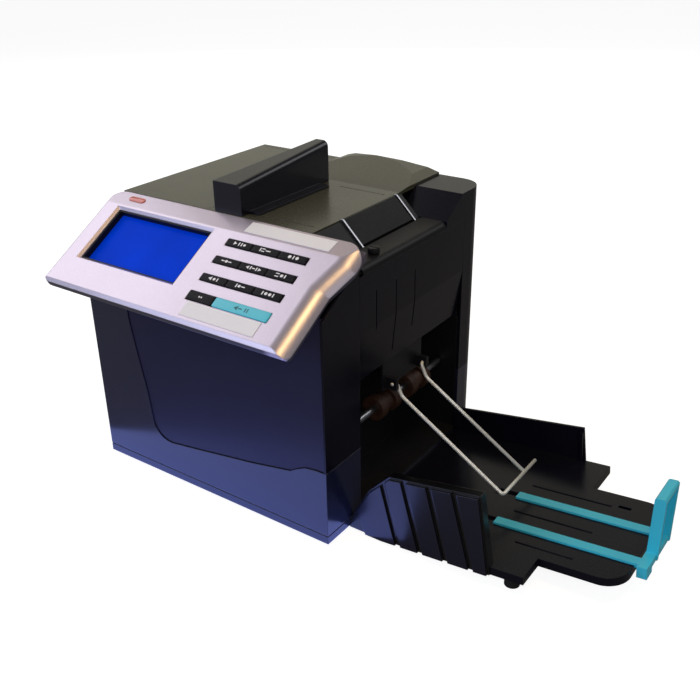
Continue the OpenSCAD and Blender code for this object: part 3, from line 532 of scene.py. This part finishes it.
def make_finishes():
    """Every finish by its material slot in the record."""
    c = colours()
    return {
        "navy_gloss": finish("Navy gloss plastic", tuple(c.navy), 0.30, gloss=0.14, dust=0.04,
                             wave=(14.0, 0.00025), grain=(1500.0, 0.000004)),
        "pan_navy": finish("Blue-black pan plastic", tuple(c.pan), 0.17, gloss=0.50, dust=0.04, edge=0.0009,
                           wave=(14.0, 0.00025), grain=(1500.0, 0.000004)),
        # the tray wall's pattern paints shade into the floors of its grooves
        "tray_navy": finish("Navy tray plastic", tuple(c.tray), 0.24, gloss=0.45, dust=0.04, edge=0.0012,
                            wave=(14.0, 0.00025), grain=(1500.0, 0.000004), pattern=groove_painted_shade),
        "guide_gloss": finish("Polished black plastic", tuple(c.black), 0.24, gloss=0.34, ior=1.6, dust=0.03,
                              wave=(16.0, 0.00015), grain=(1500.0, 0.000002), smudge=0.05),
        "black_gloss": finish("Black gloss plastic", tuple(c.black), 0.22, gloss=0.16, dust=0.03,
                              wave=(16.0, 0.0002), grain=(1500.0, 0.000004)),
        "olive_gloss": finish("Olive gloss plastic", tuple(c.olive), 0.22, gloss=0.34, dust=0.12,
                              grain=(1300.0, 0.000004)),
        "chute_grey": finish("Chute plastic", (0.005, 0.006, 0.006), 0.34, gloss=0.08, grain=(1100.0, 0.00001)),
        "silver_paint": finish("Silver paint", tuple(c.silver), 0.34, metal=0.75, coat=0.25, edge=0.0009,
                               grain=(2200.0, 0.000004), drift=0.06, wear=((0.30, 0.28, 0.30), 0.1),
                               pattern=console_paint),
        "console_grey": finish("Console grey plastic", (0.075, 0.068, 0.095), 0.5, gloss=0.4,
                               grain=(900.0, 0.00004)),
        "black_matte": finish("Black textured plastic", (0.008, 0.008, 0.010), 0.42, gloss=0.2,
                              grain=(800.0, 0.00003), dust=0.05),
        "display_blue": bpy.data.materials.get("Blue display") or display_material(),
        "circuit_green": finish("Circuit board", (0.012, 0.10, 0.04), 0.35, edge=0.0002, pattern=board_tracks),
        "label_white": finish("Label film", (0.93, 0.93, 0.95), 0.45, edge=0.00015, grain=(2600.0, 0.000006),
                              drift=0.05, pattern=paper_fibres),
        "badge_red": finish("Badge resin", tuple(c.badge), 0.12, coat=0.6, edge=0.0002, drift=0.3),
        "key_black": finish("Black key plastic", (0.004, 0.004, 0.006), 0.36, gloss=0.10, edge=0.0003,
                            grain=(2000.0, 0.00001)),
        "key_teal": finish("Teal key plastic", tuple(c.teal_key), 0.35, edge=0.0003, drift=0.08,
                           grain=(2000.0, 0.00001)),
        "teal_plastic": finish("Teal plastic", tuple(c.teal), 0.33, edge=0.0006, drift=0.15, dust=0.15),
        "wire_steel": finish("Polished wire", (0.92, 0.90, 0.82), 0.32, metal=0.4, edge=0.0001,
                             grain=(1800.0, 0.00002), stretch=(0.08, 1.0, 0.08), smudge=0.12),
        "steel": finish("Brushed steel", (0.42, 0.43, 0.45), 0.34, metal=1.0, edge=0.0003,
                        grain=(1500.0, 0.00003), stretch=(1.0, 0.04, 1.0)),
        "roller_rubber": finish("Black roller rubber", (0.014, 0.013, 0.012), 0.62, gloss=0.3, edge=0.0003,
                                grain=(1100.0, 0.00006), stretch=(1.0, 0.15, 1.0)),
        "exit_roller_brown": finish("Brown roller rubber", tuple(c.tyre), 0.55, gloss=0.4, edge=0.0003,
                                    grain=(1100.0, 0.00006), stretch=(1.0, 0.15, 1.0), drift=0.5),
        "brass": finish("Turned brass", (0.62, 0.42, 0.16), 0.28, metal=1.0, edge=0.0003,
                        grain=(1500.0, 0.00003), stretch=(0.05, 1.0, 0.05)),
        "belt_rubber": finish("Belt rubber", (0.010, 0.010, 0.010), 0.6, gloss=0.3, edge=0.0002,
                              grain=(900.0, 0.00006)),
        "motor_case": finish("Plated motor case", (0.30, 0.31, 0.33), 0.36, metal=0.9, drift=0.3,
                             grain=(700.0, 0.00003), stretch=(1.0, 0.05, 1.0)),
        "aluminium_case": finish("Pressed aluminium", (0.50, 0.51, 0.53), 0.4, metal=1.0, drift=0.15,
                                 grain=(900.0, 0.00003), stretch=(0.06, 1.0, 1.0)),
        "chrome_trim": finish("Chrome trim", (0.34, 0.34, 0.36), 0.26, metal=1.0, edge=0.0003, smudge=0.1),
        "foot_rubber": finish("Foot rubber", (0.014, 0.014, 0.014), 0.7, gloss=0.3, grain=(700.0, 0.00008)),
        "red_rocker": finish("Red rocker plastic", (0.42, 0.02, 0.015), 0.25, edge=0.0004),
    }


def own_box(node, matrix):
    """Lowest and highest corner of a CAD node in the axes of a 4 x 4 matrix."""
    mesh = NODES[node].data
    co = np.zeros(len(mesh.vertices) * 3)
    mesh.vertices.foreach_get("co", co)
    local = placed(matrix.inverted(), co.reshape(-1, 3))
    return local.min(0), local.max(0)


# ---------------------------------------------------------------- operators
class CounterFinishes(bpy.types.Operator):
    """Gives every CAD node the procedural finish of its material slot"""

    bl_idname = "counter.finishes"
    bl_label = "Finishes"

    def execute(self, context):
        GROUPS.update(relief=relief_group(), handling=handling_group(), colour=colour_group())
        made = make_finishes()
        for part in frame["record"]["subparts"]:
            mesh = NODES[part["node"]].data
            if not mesh.materials:
                mesh.materials.append(None)
            slot = OWN_FINISH.get(part["node"], part["material_slot"])
            for k in range(len(mesh.materials)):
                mesh.materials[k] = made[slot]
        return {"FINISHED"}


class CounterKeys(bpy.types.Operator):
    """Makes the rounded, slightly crowned key caps that stand for the plain keys"""

    bl_idname = "counter.keys"
    bl_label = "Key caps"

    def execute(self, context):
        s, made = sizes(), make_finishes()
        flange, corner = 0.0012, 0.0014  # the hidden flange above and below a cap; a cap's corner radius
        for key in KEYS:
            low, high = own_box(key, CONSOLE)
            low[1] += flange
            high[1] -= flange
            half, middle = (high - low) / 2, (high + low) / 2
            points, faces = cushion_block((middle[0], middle[1], 0), half[0], half[1], low[2], high[2], corner,
                                          s.key_edge, s.key_crown)
            slot = "key_teal" if key == "key_r4_wide" else "key_black"
            cap = make_piece("cap_" + key, placed(CONSOLE, points), faces, made[slot], key)
            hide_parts(key)
        return {"FINISHED"}


def bar(x, y, width, height):
    """Outline of an upright rectangle centred on x, y."""
    return [(x - width / 2, y - height / 2), (x + width / 2, y - height / 2),
            (x + width / 2, y + height / 2), (x - width / 2, y + height / 2)]


def disc(x, y, radius, count=16):
    """Outline of a regular polygon of count corners: radius * (cos a, sin a) about x, y."""
    a = np.arange(count) * 2 * math.pi / count
    return np.c_[x + radius * np.cos(a), y + radius * np.sin(a)].tolist()


def arrow(x, y, size, way):
    """Outline of a triangle pointing along +x or -x."""
    return [(x - way * size * 0.5, y - way * size * 0.6), (x + way * size * 0.6, y),
            (x - way * size * 0.5, y + way * size * 0.6)]


def key_marks(index):
    """Plain signs of one key about its middle, in units of the sign grid: bars, dots and triangles."""
    signs = [
        [arrow(-3.4, 0, 2.6, 1), bar(0.2, 0, 1.0, 3.0), bar(2.6, 0, 1.0, 3.0), disc(5.2, 0, 1.1)],
        [bar(-4.6, 0, 1.0, 3.0), bar(-2.0, 1.1, 3.0, 0.8), bar(-2.0, -1.1, 3.0, 0.8), bar(2.4, 0, 4.2, 0.9)],
        [disc(-3.0, 0, 1.4), bar(0.4, 0, 1.0, 3.0), disc(3.6, 0, 1.4)],
        [bar(-3.2, 0, 3.0, 0.9), disc(0.0, 0, 1.2), bar(3.2, 0, 3.0, 0.9)],
        [arrow(-5.0, 0, 2.4, -1), bar(-2.0, 0, 1.0, 3.0), bar(0.6, 0, 2.6, 0.9), bar(3.2, 0, 1.0, 3.0),
         arrow(6.0, 0, 2.4, 1)],
        [bar(-3.0, 1.2, 3.2, 0.8), bar(-3.0, -1.2, 3.2, 0.8), disc(1.0, 0, 1.3), bar(4.0, 0, 1.0, 3.0)],
        [arrow(-3.2, 0, 2.8, -1), disc(0.6, 0, 1.2), bar(3.6, 0, 1.0, 3.0)],
        [bar(-3.4, 0, 1.0, 3.0), disc(-0.8, 0, 1.2), bar(2.6, 0, 3.4, 0.9)],
        [bar(-4.6, 0, 1.0, 3.0), disc(-1.6, 0, 1.3), disc(1.8, 0, 1.3), bar(4.8, 0, 1.0, 3.0)],
        [disc(-1.0, 0, 0.7), disc(1.0, 0, 0.7)],
        [arrow(-4.4, 0, 3.2, -1), bar(-0.6, 0, 3.4, 1.0), bar(4.0, 0, 1.0, 3.2), bar(6.0, 0, 1.0, 3.2)],
    ]
    return [[(x * SIGN_GRID, y * SIGN_GRID) for x, y in outline] for outline in signs[index]]


class CounterMarks(bpy.types.Operator):
    """Prints plain signs on the key caps: bars, dots and triangles, and no letters"""

    bl_idname = "counter.marks"
    bl_label = "Key signs"

    def execute(self, context):
        pale = finish("Pale key print", (0.90, 0.90, 0.92), 0.5, edge=0.00005, drift=0.2)
        dark = finish("Dark key print", (0.02, 0.16, 0.18), 0.5, edge=0.00005, drift=0.2)
        print_top = sizes().key_crown + 0.00004  # just clear of the crown
        for index, key in enumerate(KEYS):
            low, high = own_box(key, CONSOLE)
            middle = Matrix.Translation(((low[0] + high[0]) / 2, (low[1] + high[1]) / 2, high[2]))
            points, faces = thin_prism(key_marks(index), CONSOLE @ middle, 0.0, print_top)
            make_piece("sign_" + key, points, faces, dark if key == "key_r4_wide" else pale, key, smooth=False)
        return {"FINISHED"}


class CounterBadge(bpy.types.Operator):
    """Lays a blank domed resin drop on the oval badge"""

    bl_idname = "counter.badge"
    bl_label = "Badge dome"

    def execute(self, context):
        low, high = own_box("oval_badge", STRIP)
        rim_x, rim_y, lift = 0.001, 0.0009, 0.0002  # the badge's bare rim; the dome's height at its edge
        half, middle = (high - low) / 2, (high + low) / 2
        points, faces = cushion_block((middle[0], middle[1], 0), half[0] - rim_x, half[1] - rim_y, low[2],
                                      high[2] + lift, half[1] - rim_y - 0.00002, lift, sizes().badge_rise)
        resin = finish("Badge dome resin", (0.60, 0.09, 0.045), 0.1, coat=0.8, edge=0.0001, drift=0.3)
        make_piece("badge_dome", placed(STRIP, points), faces, resin, BODY_OF["oval_badge"])
        return {"FINISHED"}


class CounterBail(bpy.types.Operator):
    """Bends the wire bail with rounded corners in place of the mitred one"""

    bl_idname = "counter.bail"
    bl_label = "Wire bail"

    def execute(self, context):
        s, made = sizes(), make_finishes()
        low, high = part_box("wire_bail")
        r = s.wire_radius
        # hook, knee and far end of a leg, seen along Y
        hook = (low.x + r, high.z - r)
        knee = (hook[0] + 0.0065, hook[1] - 0.014)
        far = (high.x - r, low.z + r)
        pin, spacing = 0.0075, 0.0457  # length of a hook's cross pin; distance between the two legs
        front, rear = low.y + pin, low.y + pin + spacing
        first = [(hook[0], low.y, hook[1]), (hook[0], front, hook[1]), (knee[0], front, knee[1]),
                 (far[0], front, far[1]), (far[0], high.y, far[1])]
        second = [(hook[0], rear + pin, hook[1]), (hook[0], rear, hook[1]), (knee[0], rear, knee[1]),
                  (far[0], rear, far[1])]
        points, faces = gathered([swept_tube(filleted(line, s.bend_radius), r) for line in (first, second)])
        wire = make_piece("bail_wire", points, faces, made["wire_steel"], BODY_OF["wire_bail"])
        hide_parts("wire_bail")
        return {"FINISHED"}


def tyre_profile(width, radius, bore, grooves, depth):
    """Closed loop (radius, place) of a tyre: the bore, two sides with 0.8 mm rounds, and a tread
    whose radius dips by depth * sin(pi * t) ** 8 in each groove."""
    a = np.linspace(0, math.pi / 2, 5)
    e = 0.0008
    left = np.c_[radius - e + e * np.sin(a), e - e * np.cos(a)]
    right = np.c_[radius - e + e * np.cos(a), width - e + e * np.sin(a)]
    t = np.linspace(0, 1, 12 * grooves + 1)[1:-1]
    tread = np.c_[radius - depth * np.sin(math.pi * grooves * t) ** 8, e + t * (width - 2 * e)]
    return np.vstack([[[bore, 0.0]], left, tread, right, [[bore, width]]])


class CounterTyres(bpy.types.Operator):
    """Turns the grooved exit tyres and the ribbed feed tyres, rounded at their shoulders"""

    bl_idname = "counter.tyres"
    bl_label = "Roller tyres"

    def execute(self, context):
        s, made = sizes(), make_finishes()
        bore, rim, waist = 0.004, 0.010, 0.003  # shaft's radius; width of an exit tyre's end; depth of its middle

        def ribs(a, place):
            """Thirty shallow slots along the tread, short of both shoulders."""
            return 1 - 0.018 * (np.cos(30 * a) > 0.6) * (place > 0.002) * (place < 0.024)

        jobs = [("exit_rollers", "exit_tyres", "exit_roller_brown", 0.056, 3),
                ("feed_rollers", "feed_tyres", "roller_rubber", 0.052, 2)]
        for node, name, slot, pitch, grooves in jobs:
            low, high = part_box(node)
            radius = (high.z - low.z) / 2
            width = (high.y - low.y) - pitch
            x, z = (low.x + high.x) / 2, (low.z + high.z) / 2
            shapes = []
            for y in (low.y, low.y + pitch):
                bands = [(y, width, radius, grooves)]
                if node == "exit_rollers":
                    bands = [(y, rim, radius, grooves), (y + rim, width - 2 * rim, radius - waist, 1),
                             (y + width - rim, rim, radius, grooves)]
                shapes += [turned(tyre_profile(length, r, bore, count, s.tyre_groove), (x, start, z), "Y", 90,
                                  None if node == "exit_rollers" else ribs)
                           for start, length, r, count in bands]
            points, faces = gathered(shapes)
            tyre = make_piece(name, points, faces, made[slot], BODY_OF[node])
            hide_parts(node)
        return {"FINISHED"}


class CounterFeet(bpy.types.Operator):
    """Moulds the rubber feet with rounded rims and a shallow hollow underneath"""

    bl_idname = "counter.feet"
    bl_label = "Rubber feet"

    def execute(self, context):
        low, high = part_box("body_feet")
        h, r, e = high.z - low.z, 0.009, 0.0008  # height and radius of a foot, and the round of its rim
        in_set = 0.010  # the rear right foot stands further in, clear of the corner
        pole = 1e-5
        a = np.linspace(0, math.pi / 2, 5)
        rim = np.c_[r - e + e * np.sin(a), e - e * np.cos(a)]
        profile = np.vstack([[[pole, 0.0006], [0.006, 0.0006], [0.0068, 0.0]], rim, [[r, h], [pole, h]]])
        spots = [(low.x + r, low.y + r), (high.x - r, low.y + r), (low.x + r, high.y - r),
                 (high.x - r - in_set, high.y - r - in_set)]
        points, faces = gathered([turned(profile, (x, y, low.z), "Z", 48) for x, y in spots])
        feet = make_piece("foot_mouldings", points, faces, make_finishes()["foot_rubber"], BODY_OF["body_feet"])
        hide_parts("body_feet")
        return {"FINISHED"}


class CounterKnurl(bpy.types.Operator):
    """Rolls a knurled grip round the thickness screw's head"""

    bl_idname = "counter.knurl"
    bl_label = "Screw grip"

    def execute(self, context):
        low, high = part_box("thickness_screw")
        x, y = (low.x + high.x) / 2, (low.y + high.y) / 2
        head = 0.0057  # height of the screw's head, whose side the grip goes round
        profile = [(0.0048, 0.0004), (0.0052, 0.0004), (0.00535, 0.0008), (0.00535, 0.0046), (0.0052, 0.005),
                   (0.0048, 0.005)]
        points, faces = turned(profile, (x, y, high.z - head), "Z", 120,
                               lambda a, p: 1 + 0.02 * np.cos(30 * a) * (p > 0.0006) * (p < 0.0048))
        grip = make_piece("screw_grip", points, faces, make_finishes()["black_matte"],
                          BODY_OF["thickness_screw"])
        return {"FINISHED"}


class CounterPins(bpy.types.Operator):
    """Plates the three pins of the mains inlet"""

    bl_idname = "counter.pins"
    bl_label = "Inlet pins"

    def execute(self, context):
        rear = Matrix.Translation((ORIGIN.x, PAN_HIGH.y, 0)) @ Matrix.Rotation(math.radians(-90), 4, "X")
        # the pins' places from the pan's rear left corner: across, and up
        points, faces = gathered([
            cushion_block((x, -z, 0), 0.00108, 0.00208, -0.0155, -0.0019, 0.0006, 0.0005, 0.0001)
            for x, z in ((0.045, 0.103), (0.052, 0.107), (0.059, 0.103))])
        pins = make_piece("inlet_pins", placed(rear, points), faces, make_finishes()["brass"],
                          BODY_OF["mains_inlet"])
        return {"FINISHED"}


def area_lamp(name, place, turn, power, tone, shape, size, size_y=None):
    """An area lamp at a place, turned by Euler angles; returns its object."""
    lamp = bpy.data.lights.new(name, "AREA")
    lamp.shape, lamp.size, lamp.energy, lamp.color = shape, size, power, tone
    if size_y is not None:
        lamp.size_y = size_y
    holder = bpy.data.objects.new(name, lamp)
    holder.location, holder.rotation_euler = place, turn
    bpy.context.scene.collection.objects.link(holder)
    return holder


def camera_aim(turn, down, roll):
    """Axes of a camera turned left of +Y, tipped down and rolled, as a 4 x 4 matrix: right, up and
    back are its columns, with ahead = (-sin turn cos down, cos turn cos down, -sin down)."""
    ahead = Vector((-math.sin(turn) * math.cos(down), math.cos(turn) * math.cos(down), -math.sin(down)))
    right = Vector((math.cos(turn), math.sin(turn), 0))
    up = right.cross(ahead)
    right, up = (math.cos(roll) * right + math.sin(roll) * up, math.cos(roll) * up - math.sin(roll) * right)
    return Matrix((right, up, -ahead)).transposed().to_4x4()


class CounterStage(bpy.types.Operator):
    """Sets the pale floor, the soft studio light and the camera"""

    bl_idname = "counter.stage"
    bl_label = "Stage"

    def execute(self, context):
        scene = bpy.context.scene
        # floor: a flat square sheet, at one height everywhere
        reach, lines, level = 9, 13, -0.0002
        u = np.linspace(-reach, reach, lines)
        gx, gy = np.meshgrid(u, u, indexing="ij")
        points = np.stack([gx, gy, np.full_like(gx, level)], -1).reshape(-1, 3)
        mesh = bpy.data.meshes.new("floor")
        mesh.from_pydata(points.tolist(), [], grid_faces(lines, lines, wrap=False, flip=True))
        pale = finish("Pale floor", (0.35, 0.35, 0.35), 0.8, gloss=0.0, edge=0.0001, grain=(40.0, 0.0),
                      wave=(2.0, 0.0), drift=0.02, smudge=0.02, dust=0.0)
        # the floor is lifted towards white where it is seen directly, and stays grey in reflections
        seen = add_node(pale.node_tree, "ShaderNodeLightPath").outputs["Is Camera Ray"]
        shader = pale.node_tree.nodes["Principled BSDF"]
        shader.inputs["Emission Color"].default_value = (1, 1, 1, 1)
        pale.node_tree.links.new(maths(pale.node_tree, "MULTIPLY", seen, 0.90),
                                 shader.inputs["Emission Strength"])
        mesh.materials.append(pale)
        mesh.update()
        floor = bpy.data.objects.new("floor", mesh)
        scene.collection.objects.link(floor)
        world = bpy.data.worlds.new("Studio")
        scene.world = world
        world.use_nodes = True
        sky = world.node_tree
        sky.nodes["Background"].inputs[0].default_value = (0.95, 0.96, 1.0, 1)
        seen = add_node(sky, "ShaderNodeLightPath").outputs["Is Camera Ray"]
        sky.links.new(maths(sky, "ADD", 0.14, maths(sky, "MULTIPLY", seen, 0.94)),
                      sky.nodes["Background"].inputs[1])
        scene.view_settings.view_transform = "Standard"
        lamps = [
            ("upper left softbox", (-1.90, -0.20, 1.60), 2.0, 17.0, (0.97, 0.94, 1.0)),
            ("warm overhead softbox", (0.50, -0.33, 2.05), 0.5, 6.5, (1.0, 0.66, 0.26)),
            ("warm upper rear softbox", (-1.2, 0.75, 1.95), 0.9, 0.7, (1.0, 0.76, 0.42)),
            ("front left softbox", (-1.1, -2.2, 0.75), 2.0, 20, (0.66, 0.74, 1.0)),
            ("front right softbox", (1.4, -1.5, 1.3), 1.2, 10, (0.95, 0.97, 1.0)),
            ("rear left softbox", (-1.3, 2.1, 1.05), 2.4, 6.5, (1.0, 0.97, 0.78)),
            ("rear right softbox", (1.2, 2.1, 1.9), 1.4, 10, (0.97, 0.98, 1.0)),
        ]
        middle = Vector((0.0, 0.0, 0.12))  # the point that every softbox faces
        for name, place, size, power, tone in lamps:
            turn = (middle - Vector(place)).to_track_quat("-Z", "Y").to_euler()
            area_lamp(name, place, turn, power, tone, "DISK", size)
        # a low card of light in front of the machine, facing up, as a pale desk throws light back
        card = area_lamp("desk bounce", ORIGIN + Vector((0.138, 0.0, 0.001)), (math.pi, 0, math.radians(-24.2)),
                         0.52, (0.26, 0.34, 1.0), "RECTANGLE", 0.36, 0.20)
        card.visible_camera = False
        view = camera_aim(math.radians(35.416), math.radians(26.677), math.radians(-0.834))
        lens = bpy.data.cameras.new("camera")
        lens.lens = 46.998
        lens.sensor_width = 36.0
        lens.clip_end = 60
        camera = bpy.data.objects.new("camera", lens)
        camera.matrix_world = Matrix.Translation(ORIGIN + Vector((0.6987, -0.5357, 0.5420))) @ view
        scene.collection.objects.link(camera)
        scene.camera = camera
        return {"FINISHED"}


STEPS = [CounterFinishes, CounterKeys, CounterMarks, CounterBadge, CounterBail, CounterTyres, CounterFeet,
         CounterKnurl, CounterPins, CounterStage]


class CounterPanel(bpy.types.Panel):
    """Lists the machine's sizes, colours and pieces in the sidebar"""

    bl_idname = "VIEW3D_PT_counter"
    bl_label = "Banknote counter"
    bl_space_type = "VIEW_3D"
    bl_region_type = "UI"
    bl_category = "Counter"

    def draw(self, context):
        for group in (context.scene.counter_sizes, context.scene.counter_colours):
            for name in group.__annotations__:
                self.layout.prop(group, name)
        for step in STEPS:
            self.layout.operator(step.bl_idname)


CLASSES = [CounterSizes, CounterColours, *STEPS, CounterPanel]


def register():
    """Adds the classes and the two groups of settings."""
    for made in CLASSES:
        bpy.utils.register_class(made)
    bpy.types.Scene.counter_sizes = bpy.props.PointerProperty(type=CounterSizes)
    bpy.types.Scene.counter_colours = bpy.props.PointerProperty(type=CounterColours)


def unregister():
    """Takes them away again."""
    del bpy.types.Scene.counter_colours
    del bpy.types.Scene.counter_sizes
    for made in reversed(CLASSES):
        bpy.utils.unregister_class(made)


def main():
    register()
    bpy.ops.counter.finishes()
    bpy.ops.counter.keys()
    bpy.ops.counter.marks()
    bpy.ops.counter.badge()
    bpy.ops.counter.bail()
    bpy.ops.counter.tyres()
    bpy.ops.counter.feet()
    bpy.ops.counter.knurl()
    bpy.ops.counter.pins()
    bpy.ops.counter.stage()


if __name__ == "__main__":
    main()
